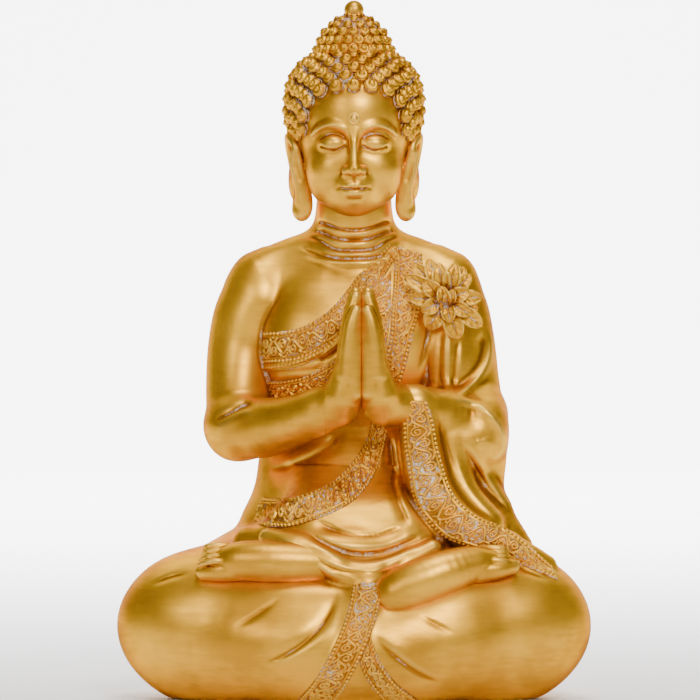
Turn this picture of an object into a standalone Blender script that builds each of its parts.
"""A seated, praying Buddha statue: a gilded hollow casting, put together from separate pieces.

The row frame is in metres, +Z up. The origin is on the floor under the middle of the statue, the
figure faces -Y, and +X is its left-hand side. Sizes are written in millimetres times MM.
Run with: blender --background --python part.py
"""

import math

import bmesh
import bpy
from mathutils import Matrix, Vector

MM = 0.001


def at(x, y, z):
    """A place in the row frame, given in millimetres."""
    return Vector((x, y, z)) * MM


# Driving dimensions.
GAP = 0.6 * MM
WALL = 8 * MM
PAD_HEIGHT = 1 * MM
PAD_RADIUS = 8 * MM
PLATE_THICKNESS = 3 * MM
PLATE_RADIUS = 48 * MM
LAP_PLANE = 98 * MM
COLLAR_PLANE = 258 * MM
FINIAL_TOP = 418

# Landmarks of the figure. Those with a positive x are mirrored for its right side.
KNEE, KNEE_RADIUS = at(97.5, -22, 45), 49 * MM
HIP, HIP_RADIUS = at(46, 34, 60), 50 * MM
SHIN_END, SHIN_RADIUS = at(6, -47, 35), 42 * MM
SEAT, SEAT_RADII = at(0, 38, 56), at(92, 52, 60)
BASE_MIDDLE, BASE_RADII = at(0, 8, 14), at(110, 66, 24)
WAIST = at(0, 38, 132)
CHEST, CHEST_RADII = at(0, 37, 205), at(58, 40, 56)
COLLAR_END, COLLAR_RADIUS = at(38, 40, 246), 21 * MM
SHOULDER, SHOULDER_RADIUS = at(61, 38, 236), 26 * MM
ELBOW, ELBOW_RADIUS = at(71, 20, 160), 19 * MM
PALM_X = 4.5 * MM
NECK_Y = 40 * MM
HEAD = at(0, 34, 324)
CROWN = at(0, 38, 350)
TOPKNOT = at(0, 39, 383)

DOWEL_RADIUS = 5 * MM
PIN_RADIUS = 1.6 * MM
BAND_HEIGHT = 2.2 * MM

# Finishes: colour, roughness and metallic value. Washed gold has a white wash left in its relief.
GOLD, WASHED, BARE_RESIN, FELT, STEEL = "satin_gold", "washed_gold", "bare_resin", "felt", "steel"
FINISHES = {
    GOLD: ((0.72, 0.42, 0.09, 1), 0.35, 0.9),
    WASHED: ((0.74, 0.5, 0.2, 1), 0.45, 0.75),
    BARE_RESIN: ((0.62, 0.56, 0.45, 1), 0.7, 0.0),
    FELT: ((0.03, 0.03, 0.03, 1), 0.95, 0.0),
    STEEL: ((0.55, 0.55, 0.55, 1), 0.4, 1.0),
}

statue = bpy.data.collections.new("buddha_statue")
guides = bpy.data.collections.new("guides_and_cutters")
bodies = {}  # by node name, the piece as its neighbours meet it: its outer form, with no hollow
forms = {}  # by node name, the smooth form before anything was cut from it, for the trims to lie on


def clear_scene():
    for obj in list(bpy.data.objects):
        bpy.data.objects.remove(obj)
    bpy.context.scene.collection.children.link(statue)
    bpy.context.scene.collection.children.link(guides)


def material(name):
    found = bpy.data.materials.get(name)
    if found:
        return found
    colour, roughness, metallic = FINISHES[name]
    made = bpy.data.materials.new(name)
    made.use_nodes = True
    shader = made.node_tree.nodes["Principled BSDF"]
    shader.inputs["Base Color"].default_value = colour
    shader.inputs["Roughness"].default_value = roughness
    shader.inputs["Metallic"].default_value = metallic
    return made


def mirrored(point):
    return Vector((-point.x, point.y, point.z))


# ---- guides: forms that are joined, cut or used as cutters, and never shown ----


def guide(name, mesh):
    obj = bpy.data.objects.new(name, mesh)
    guides.objects.link(obj)
    obj.hide_render = True
    obj.display_type = "WIRE"
    return obj


def evaluated_mesh(obj):
    bpy.context.view_layer.update()
    graph = bpy.context.evaluated_depsgraph_get()
    return bpy.data.meshes.new_from_object(obj.evaluated_get(graph))


def bake(obj):
    """Replaces the object's mesh by what its modifiers make of it."""
    mesh = evaluated_mesh(obj)
    obj.modifiers.clear()
    obj.data = mesh
    return obj


def ball(centre, radii, segments=20, turn=None):
    """An ellipsoid, turned by the Euler angles of turn in degrees."""
    bm = bmesh.new()
    bmesh.ops.create_uvsphere(bm, u_segments=segments, v_segments=segments // 2, radius=1)
    size = Matrix.Diagonal((*radii, 1))
    angles = Matrix.Identity(4)
    for axis, degrees in zip("XYZ", turn or (0, 0, 0)):
        angles = Matrix.Rotation(math.radians(degrees), 4, axis) @ angles
    bm.transform(Matrix.Translation(centre) @ angles @ size)
    mesh = bpy.data.meshes.new("ball")
    bm.to_mesh(mesh)
    bm.free()
    return guide("ball", mesh)


def box(low, high):
    bm = bmesh.new()
    bmesh.ops.create_cube(bm, size=1)
    bm.transform(Matrix.Translation((low + high) / 2) @ Matrix.Diagonal((*(high - low), 1)))
    mesh = bpy.data.meshes.new("box")
    bm.to_mesh(mesh)
    bm.free()
    return guide("box", mesh)


def rod(low, high, radius, segments=20):
    """A round bar between two points."""
    bm = bmesh.new()
    bmesh.ops.create_cone(
        bm, cap_ends=True, segments=segments, radius1=radius, radius2=radius, depth=(high - low).length
    )
    turn = (high - low).to_track_quat("Z", "Y").to_matrix().to_4x4()
    bm.transform(Matrix.Translation((low + high) / 2) @ turn)
    mesh = bpy.data.meshes.new("rod")
    bm.to_mesh(mesh)
    bm.free()
    return guide("rod", mesh)


def limb(points, radii):
    """A rounded tube through the points, as thick at each as its radius says."""
    curve = bpy.data.curves.new("limb", "CURVE")
    curve.dimensions = "3D"
    curve.bevel_depth = 1
    curve.bevel_resolution = 3
    curve.resolution_u = 5
    curve.use_fill_caps = True
    spline = curve.splines.new("BEZIER")
    spline.bezier_points.add(len(points) - 1)
    for knot, point, radius in zip(spline.bezier_points, points, radii):
        knot.co = point
        knot.radius = radius
        knot.handle_left_type = knot.handle_right_type = "AUTO"
    tube = bpy.data.objects.new("limb", curve)
    guides.objects.link(tube)
    mesh = evaluated_mesh(tube)
    bpy.data.objects.remove(tube)
    bm = bmesh.new()
    bm.from_mesh(mesh)
    bmesh.ops.remove_doubles(bm, verts=bm.verts, dist=0.01 * MM)
    bm.to_mesh(mesh)
    bm.free()
    ends = [ball(points[k], Vector((1, 1, 1)) * radii[k], 14) for k in (0, -1)]
    return joined([guide("limb", mesh), *ends])


def joined(objects):
    """One object that holds all these meshes, which may overlap."""
    bm = bmesh.new()
    for obj in objects:
        bm.from_mesh(obj.data)
    mesh = bpy.data.meshes.new("joined")
    bm.to_mesh(mesh)
    bm.free()
    for obj in objects:
        bpy.data.objects.remove(obj)
    return guide("joined", mesh)


def fused(objects, voxel, keep=1.0, smoothing=3):
    """The overlapping forms melted into one closed skin, then thinned to a share of its faces."""
    obj = joined(objects)
    melt = obj.modifiers.new("melt", "REMESH")
    melt.mode = "VOXEL"
    melt.voxel_size = voxel
    smooth = obj.modifiers.new("smooth", "SMOOTH")
    smooth.factor = 0.5
    smooth.iterations = smoothing
    if keep < 1:
        thin = obj.modifiers.new("thin", "DECIMATE")
        thin.ratio = keep
    return bake(obj)


def prism(outline, low_y, high_y):
    """The outline, given as x and z in millimetres, as a block between two depths."""
    curve = bpy.data.curves.new("prism", "CURVE")
    curve.dimensions = "2D"
    curve.fill_mode = "BOTH"
    curve.extrude = (high_y - low_y) / 2
    spline = curve.splines.new("POLY")
    spline.points.add(len(outline) - 1)
    for point, (x, z) in zip(spline.points, outline):
        point.co = (x * MM, z * MM, 0, 1)
    spline.use_cyclic_u = True
    flat = bpy.data.objects.new("prism", curve)
    guides.objects.link(flat)
    mesh = evaluated_mesh(flat)
    bpy.data.objects.remove(flat)
    bm = bmesh.new()
    bm.from_mesh(mesh)
    bmesh.ops.remove_doubles(bm, verts=bm.verts, dist=0.01 * MM)
    stand = Matrix.Translation((0, (low_y + high_y) / 2, 0)) @ Matrix.Rotation(math.pi / 2, 4, "X")
    bm.transform(stand)
    bmesh.ops.recalc_face_normals(bm, faces=bm.faces)
    bm.to_mesh(mesh)
    bm.free()
    return guide("prism", mesh)


def copy_of(obj):
    """A copy of the form's mesh, as a guide of its own."""
    return guide("copy", obj.data.copy())


def grown(obj, by):
    """A copy of a closed form whose skin has moved outwards."""
    copy = copy_of(obj)
    swell = copy.modifiers.new("swell", "DISPLACE")
    swell.mid_level = 0
    swell.strength = by
    return bake(copy)


def boolean(obj, other, operation, solver="EXACT"):
    """Cuts, joins or intersects, and removes the other form."""
    change = obj.modifiers.new(operation.lower(), "BOOLEAN")
    change.operation = operation
    change.solver = solver
    change.object = other
    bake(obj)
    bpy.data.objects.remove(other)
    return obj


def cut(obj, *others):
    for other in others:
        boolean(obj, other, "DIFFERENCE")
    return obj


def fit(obj, *neighbours, gap=GAP):
    """Cuts the form back so that it lies against the named pieces with a hairline of room.

    A grown skin may fold over itself in a crease, where the exact solver loses its way.
    """
    for neighbour in neighbours:
        boolean(obj, grown(bodies[neighbour], gap), "DIFFERENCE", solver="MANIFOLD")
    return obj


def islands(bm):
    """The connected bodies of a mesh, as lists of vertices."""
    left, found = set(bm.verts), []
    while left:
        reached = [left.pop()]
        for vertex in reached:
            for edge in vertex.link_edges:
                other = edge.other_vert(vertex)
                if other in left:
                    left.remove(other)
                    reached.append(other)
        found.append(reached)
    return found


def keep_largest(obj):
    """Drops the crumbs that a cut left beside the main body."""
    bm = bmesh.new()
    bm.from_mesh(obj.data)
    bodies = sorted(islands(bm), key=len)
    for crumb in bodies[:-1]:
        bmesh.ops.delete(bm, geom=crumb, context="VERTS")
    bm.to_mesh(obj.data)
    bm.free()
    return obj


def node(name, obj, finish=GOLD, shade=True):
    """Turns a finished form into a named piece of the statue."""
    keep_largest(obj)
    if name not in bodies:
        bodies[name] = copy_of(obj)
    guides.objects.unlink(obj)
    statue.objects.link(obj)
    obj.name = name
    obj.data.name = name
    obj.hide_render = False
    obj.display_type = "TEXTURED"
    obj.data.materials.clear()
    obj.data.materials.append(material(finish))
    if shade:
        obj.data.shade_smooth()
        obj.data.set_sharp_from_angle(angle=math.radians(40))
    return obj


# ---- the hollow castings ----


def leg_form(inset=0.0, keep=0.22):
    """Both crossed legs and the seat, as one closed form, drawn in by the inset."""
    parts = []
    for side in (lambda p: p, mirrored):
        parts.append(limb([side(KNEE), side(HIP)], [KNEE_RADIUS - inset, HIP_RADIUS - inset]))
        parts.append(limb([side(KNEE), side(SHIN_END)], [KNEE_RADIUS - inset, SHIN_RADIUS - inset]))
    shrink = Vector((inset, inset, inset))
    parts.append(ball(SEAT, SEAT_RADII - shrink))
    parts.append(ball(BASE_MIDDLE, BASE_RADII - shrink))
    parts.append(ball(at(0, -22, 42), at(64, 46, 42) - shrink))
    return fused(parts, 8 * MM, keep)


def crossed_legs():
    form = leg_form()
    above_pads = box(at(-200, -200, -60), Vector((0.2, 0.2, PAD_HEIGHT)))
    above_lap = box(Vector((-0.2, -0.2, LAP_PLANE)), at(200, 200, 200))
    cut(form, above_pads, above_lap)
    bodies["crossed_legs"] = forms["crossed_legs"] = copy_of(form)
    hollow = leg_form(inset=WALL, keep=0.13)
    cut(hollow, box(at(-200, -200, -60), Vector((0.2, 0.2, PAD_HEIGHT + 2 * PLATE_THICKNESS))))
    mouth = rod(BASE_MIDDLE - at(0, 0, 20), BASE_MIDDLE + at(0, 0, 4), PLATE_RADIUS, 32)
    boolean(hollow, mouth, "UNION")
    node("crossed_legs", cut(form, hollow))


def base_plate():
    middle = Vector((0, BASE_MIDDLE.y, 0))
    low = middle + Vector((0, 0, PAD_HEIGHT))
    disc = rod(low, low + Vector((0, 0, PLATE_THICKNESS)), PLATE_RADIUS - GAP, 32)
    vent = rod(middle, middle + at(0, 0, 20), 5 * MM, 16)
    node("base_plate", cut(disc, vent), BARE_RESIN, shade=False)


def felt_pads():
    """Four glued pads that the statue stands on."""
    spots = {"front_left": (74, -14), "front_right": (-74, -14), "back_left": (50, 46), "back_right": (-50, 46)}
    for name, (x, y) in spots.items():
        pad = rod(at(x, y, 0), Vector((x * MM, y * MM, PAD_HEIGHT - GAP / 2)), PAD_RADIUS, 16)
        node(f"felt_pad_{name}", pad, FELT, shade=False)


def torso_form(inset=0.0, keep=0.24):
    """The trunk from the lap to the collar, with the slope of the shoulders."""
    shrink = Vector((inset, inset, inset))
    parts = [
        ball(at(0, 38, 100), at(74, 45, 44) - shrink),
        ball(WAIST, at(58, 37, 60) - shrink),
        ball(CHEST, CHEST_RADII - shrink),
        ball(at(0, 40, 246), at(48, 26, 30) - shrink),
    ]
    for side in (lambda p: p, mirrored):
        collar = at(14, 41, 254)
        parts.append(limb([side(COLLAR_END), side(collar)], [COLLAR_RADIUS - inset, 22 * MM - inset]))
    return fused(parts, 7 * MM, keep)


def torso():
    form = torso_form()
    forms["torso"] = copy_of(form)
    cut(form, box(at(-200, -200, -60), Vector((0.2, 0.2, LAP_PLANE + GAP))))
    fit(form, "neck")
    bodies["torso"] = copy_of(form)
    hollow = torso_form(WALL, 0.13)
    cut(hollow, box(Vector((-0.2, -0.2, 0.228)), at(200, 200, 400)))
    node("torso", cut(form, hollow, rod(at(0, 40, 200), at(0, 40, 262), DOWEL_RADIUS + GAP)))


# ---- neck and head ----


def turned(profile, centre, steps=28):
    """A round piece. The profile runs from top to bottom, as radius and height in millimetres."""
    mesh = bpy.data.meshes.new("turned")
    points = [(radius * MM, 0, height * MM) for radius, height in profile]
    mesh.from_pydata(points, [(k, k + 1) for k in range(len(points) - 1)], [])
    obj = guide("turned", mesh)
    lathe = obj.modifiers.new("lathe", "SCREW")
    lathe.steps = lathe.render_steps = steps
    lathe.use_merge_vertices = True
    lathe.merge_threshold = 0.00001
    bake(obj)
    obj.data.transform(Matrix.Translation(centre))
    return obj


def ring_profile(low, high, radius_low, radius_high, rings, swell):
    """A neck's profile from top to bottom, with soft rings standing out of its slope."""
    steps = rings * 4
    profile = [(0, high)]
    for k in range(steps + 1):
        share = 1 - k / steps
        radius = radius_low + (radius_high - radius_low) * share**0.6
        profile.append((radius + swell * abs(math.sin(math.pi * rings * share)), low + (high - low) * share))
    profile.append((0, low))
    return profile


def neck():
    form = turned(ring_profile(COLLAR_PLANE / MM, 294, 33, 22.5, 4, 1.4), Vector((0, NECK_Y, 0)), 18)
    bodies["neck"] = copy_of(form)
    node("neck", cut(form, rod(at(0, 40, 250), at(0, 40, 300), DOWEL_RADIUS + GAP, 16)))


def neck_dowel():
    node("neck_dowel", rod(at(0, 40, 236), at(0, 40, 308), DOWEL_RADIUS, 16), STEEL)


def head():
    face = ball(HEAD, at(31, 37, 40))
    jaw = ball(at(0, 20, 304), at(20, 22, 17))
    nose = limb([at(0, -1, 330), at(0, -8, 316)], [3.5 * MM, 5 * MM])
    skull = ball(CROWN, at(35, 37, 30))
    form = fit(fused([face, jaw, nose, skull], 5 * MM, 0.24), "neck")
    bodies["head"] = copy_of(form)
    node("head", cut(form, rod(at(0, 40, 270), at(0, 40, 309), DOWEL_RADIUS + GAP, 16)))


def hair_cap():
    form = fused([ball(CROWN, at(43.5, 44, 39)), ball(at(0, 50, 328), at(39, 32, 31))], 6 * MM, 0.24)
    opening = ball(at(0, -12, 318), at(31, 42, 42))
    fit(cut(form, opening), "head", "neck")
    node("hair_cap", form, WASHED)


def topknot():
    form = fused([ball(TOPKNOT, at(26, 26, 20)), ball(at(0, 39, 398), at(15, 15, 12))], 5 * MM, 0.4)
    fit(form, "hair_cap", "head")
    bodies["topknot"] = copy_of(form)
    node("topknot", cut(form, rod(at(0, 39, 398), at(0, 39, 430), PIN_RADIUS + GAP, 12)), WASHED)


def finial():
    """The flame jewel on the crown, a small turned bud with a collar."""
    drops = ((0, 0), (2.4, 0.6), (4.8, 2.4), (6, 5.4), (5.6, 8.2), (4, 10), (5.2, 11.2), (5.2, 13), (0, 13))
    profile = [(radius, FINIAL_TOP - drop) for radius, drop in drops]
    form = turned(profile, Vector((0, TOPKNOT.y, 0)), 14)
    cut(form, rod(at(0, 39, 400), at(0, 39, 413), PIN_RADIUS + GAP, 12))
    node("finial", fit(form, "topknot"))


def finial_pin():
    node("finial_pin", rod(at(0, 39, 398.6), at(0, 39, 412.4), PIN_RADIUS, 12), STEEL)


def ear(name, side):
    """A long ear with its hanging lobe."""
    rim = limb(
        [side(at(38, 35, 330)), side(at(39, 34, 316)), side(at(34, 32, 300)), side(at(32, 31, 291))],
        [5.5 * MM, 5 * MM, 5.5 * MM, 6 * MM],
    )
    shell = ball(side(at(37, 36, 318)), at(4, 9, 15))
    node(name, fit(fused([rim, shell], 2.8 * MM, 0.35), "head", "hair_cap", "neck"))


def urna():
    """The small round mark between the brows."""
    node("urna", fit(ball(at(0, -4.5, 346), at(2.6, 2.6, 2.6), 12), "head"))


# ---- arms and hands ----


def right_arm():
    """The bare arm, in one piece from shoulder to wrist."""
    shoulder, elbow, wrist = mirrored(SHOULDER), mirrored(ELBOW), at(-8, -34, 176)
    upper = limb([shoulder, at(-69, 34, 205), elbow], [SHOULDER_RADIUS - 1 * MM, 20 * MM, ELBOW_RADIUS])
    fore = limb([elbow, at(-40, -10, 163), wrist], [ELBOW_RADIUS - 0.5 * MM, 16 * MM, 12 * MM])
    node("right_arm", fit(fused([upper, fore], 6 * MM, 0.3), "torso"))


def hand_form(side):
    """One palm and its fingers pointing up. side is 1 for the left hand and -1 for the right."""
    x = PALM_X + side * 6 * MM
    heel, palm = Vector((x + side * 9 * MM, -34 * MM, 172 * MM)), Vector((x, -40 * MM, 200 * MM))
    parts = [limb([heel, palm], [11 * MM, 8 * MM])]
    tips = ((-51, 231), (-45, 239), (-38, 242), (-31, 236))
    for depth, tip in tips:
        root = Vector((x + side * 1 * MM, depth * MM, 196 * MM))
        end = Vector((PALM_X + side * 4.3 * MM, (depth - 1) * MM, tip * MM))
        parts.append(limb([root, end], [6.5 * MM, 4 * MM]))
    thumb = [Vector((x, -26 * MM, 184 * MM)), Vector((PALM_X + side * 5 * MM, -21 * MM, 216 * MM))]
    parts.append(limb(thumb, [6 * MM, 4 * MM]))
    return fused(parts, 3 * MM, 0.2)


def hands():
    """Two hands, palm to palm on one upright plane."""
    for name, side in (("right_hand", -1), ("left_hand", 1)):
        if side > 0:
            beyond = box(at(-300, -200, 0), Vector((PALM_X + GAP / 2, 0.2, 0.4)))
        else:
            beyond = box(Vector((PALM_X - GAP / 2, -0.2, 0)), at(300, 200, 400))
        node(name, fit(cut(hand_form(side), beyond), "torso", "right_arm"))


# ---- the robe ----


def left_sleeve():
    """The cloth over the left shoulder and arm, as far as the wrist."""
    path = [SHOULDER, at(70, 33, 205), ELBOW + at(2, -2, 6), at(36, -20, 174)]
    form = fused([limb(path, [SHOULDER_RADIUS, 22 * MM, 23 * MM, 16 * MM])], 6.5 * MM, 0.28)
    node("left_sleeve", fit(form, "torso", "right_hand", "left_hand"))


def sleeve_fall():
    """The long cloth that hangs from the left forearm to the thigh."""
    front = limb(
        [at(35, -22, 166), at(42, -27, 132), at(60, -36, 106), at(90, -38, 90), at(112, -30, 82)],
        [13 * MM, 14 * MM, 13 * MM, 10 * MM, 8 * MM],
    )
    back = limb(
        [at(72, 14, 156), at(73, 12, 130), at(82, 8, 104), at(96, 4, 86)], [21 * MM, 19 * MM, 18 * MM, 16 * MM]
    )
    middle = limb([at(54, -6, 156), at(58, -6, 128), at(74, -12, 100)], [18 * MM, 18 * MM, 16 * MM])
    form = fused([front, back, middle], 6.5 * MM, 0.28, smoothing=8)
    forms["sleeve_fall"] = copy_of(form)
    node("sleeve_fall", fit(form, "torso", "crossed_legs", "left_sleeve", "right_foot", "left_hand"))


def lap_drape():
    """The cloth that is gathered over the lap, between the waist and the ankles."""
    belly = ball(at(0, -2, 86), at(64, 50, 32))
    roll = limb([at(-62, -18, 90), at(0, -44, 88), at(56, -26, 92)], [11 * MM, 14 * MM, 11 * MM])
    form = fused([belly, roll], 6.5 * MM, 0.28)
    node("lap_drape", fit(form, "torso", "crossed_legs", "left_foot", "right_foot", "sleeve_fall"))


def foot(name, points, radii, *neighbours):
    node(name, fit(fused([limb(points, radii)], 5 * MM, 0.3), *neighbours))


def feet():
    """Each foot lies, sole up, on the opposite thigh."""
    foot(
        "left_foot",
        [at(-4, -64, 80), at(-42, -66, 82), at(-76, -60, 83), at(-90, -56, 82)],
        [12 * MM, 13 * MM, 12 * MM, 8 * MM],
        "crossed_legs",
    )
    foot(
        "right_foot",
        [at(14, -72, 64), at(48, -69, 76), at(76, -62, 84), at(91, -58, 84)],
        [15 * MM, 16 * MM, 12 * MM, 8 * MM],
        "crossed_legs",
        "left_foot",
    )


def trim(name, outline, form, depths, *neighbours, height=2.2 * MM):
    """A strip of trim that lies on a form: the outline, pressed on to it and as thick as height."""
    strip = prism(outline, *depths)
    boolean(strip, grown(form, GAP + height), "INTERSECT")
    cut(strip, grown(form, GAP))
    node(name, fit(strip, *neighbours), WASHED)


ARMS = ("right_arm", "right_hand", "left_hand", "left_sleeve")
CHEST_DEPTHS = (-60 * MM, 40 * MM)
LAP_DEPTHS = (-120 * MM, 0)


def chest_trims():
    """The robe's borders across the chest and down from the left shoulder."""
    chest = forms["torso"]
    upper = [(-57, 218), (-36, 222), (-12, 236), (12, 262), (24, 276)]
    upper += [(25, 246), (10, 230), (-12, 212), (-36, 202), (-57, 199)]
    trim("chest_band", upper, chest, CHEST_DEPTHS, "neck", *ARMS)
    shoulder = [(27, 276), (42, 272), (44, 244), (40, 220), (34, 188), (21, 188), (25, 210), (26, 240)]
    trim("shoulder_band", shoulder, chest, CHEST_DEPTHS, "neck", "chest_band", *ARMS)
    lower = [(-57, 190), (-30, 194), (-4, 204), (-4, 193), (-30, 182), (-57, 178)]
    trim("lower_chest_band", lower, chest, CHEST_DEPTHS, "chest_band", "shoulder_band", *ARMS)
    sash = [(10, 166), (6, 150), (-11, 130), (-32, 120), (-54, 118)]
    sash += [(-62, 104), (-32, 106), (-2, 118), (13, 136), (19, 158)]
    trim("waist_sash", sash, chest, CHEST_DEPTHS, "lap_drape", "sleeve_fall", "lower_chest_band", *ARMS)


def robe_trims():
    """The borders down the front of the sleeve and of the skirt between the shins."""
    edge = [(29, 166), (31, 146), (38, 118), (52, 100), (76, 91), (108, 78)]
    edge += [(112, 88), (98, 101), (72, 109), (58, 124), (50, 148), (48, 166)]
    around = ("lap_drape", "crossed_legs", "right_foot", *ARMS)
    trim("sleeve_band", edge, forms["sleeve_fall"], LAP_DEPTHS, *around)
    legs = forms["crossed_legs"]
    long_edge = [(1, 74), (-8, 40), (-20, 18), (-35, 4), (-14, 4), (0, 22), (10, 48), (18, 74)]
    around = ("crossed_legs", "left_foot", "right_foot", "lap_drape")
    trim("skirt_band_long", long_edge, legs, LAP_DEPTHS, *around)
    short_edge = [(8, 33), (14, 16), (26, 4), (8, 4), (4, 16)]
    trim("skirt_band_short", short_edge, legs, LAP_DEPTHS, "skirt_band_long", *around)


# ---- flower ----


def petal_ring(centre, count, length, width, thickness, lift_degrees, first=0.0):
    """Flat petals fanned round a centre, facing forwards."""
    parts = []
    for k in range(count):
        angle = first + 360 * k / count
        petal = ball(at(0, 0, length * 0.62), at(width / 2, thickness / 2, length / 2), 12)
        tilt = Matrix.Rotation(math.radians(lift_degrees), 4, "X")
        turn = Matrix.Rotation(math.radians(angle), 4, "Y")
        petal.data.transform(Matrix.Translation(centre) @ turn @ tilt)
        parts.append(petal)
    parts.append(ball(centre, at(length * 0.4, thickness, length * 0.4), 12))
    return parts


def shoulder_flower():
    """A brooch of two rings of petals round a bud, pinned on the left shoulder."""
    centre = at(54, 4, 238)
    outer = fused(petal_ring(centre, 9, 23, 11, 4, 6), 2.2 * MM, 0.25, 1)
    node("flower_outer_petals", fit(outer, "torso", "left_sleeve", "shoulder_band"), WASHED)
    inner = fused(petal_ring(centre + at(0, -5, 0), 6, 13, 8, 3.6, 24, 30), 2 * MM, 0.25, 1)
    node("flower_inner_petals", fit(inner, "flower_outer_petals"), WASHED)
    bud = ball(centre + at(0, -9, 0), at(4.5, 4.5, 4.5), 12)
    node("flower_bud", fit(bud, "flower_inner_petals", "flower_outer_petals"), WASHED)


def main():
    clear_scene()
    crossed_legs()
    base_plate()
    felt_pads()
    neck()
    neck_dowel()
    torso()
    head()
    hair_cap()
    topknot()
    finial()
    finial_pin()
    urna()
    ear("left_ear", lambda p: p)
    ear("right_ear", mirrored)
    right_arm()
    feet()
    hands()
    left_sleeve()
    sleeve_fall()
    lap_drape()
    chest_trims()
    robe_trims()
    shoulder_flower()
    bpy.context.view_layer.update()


main()
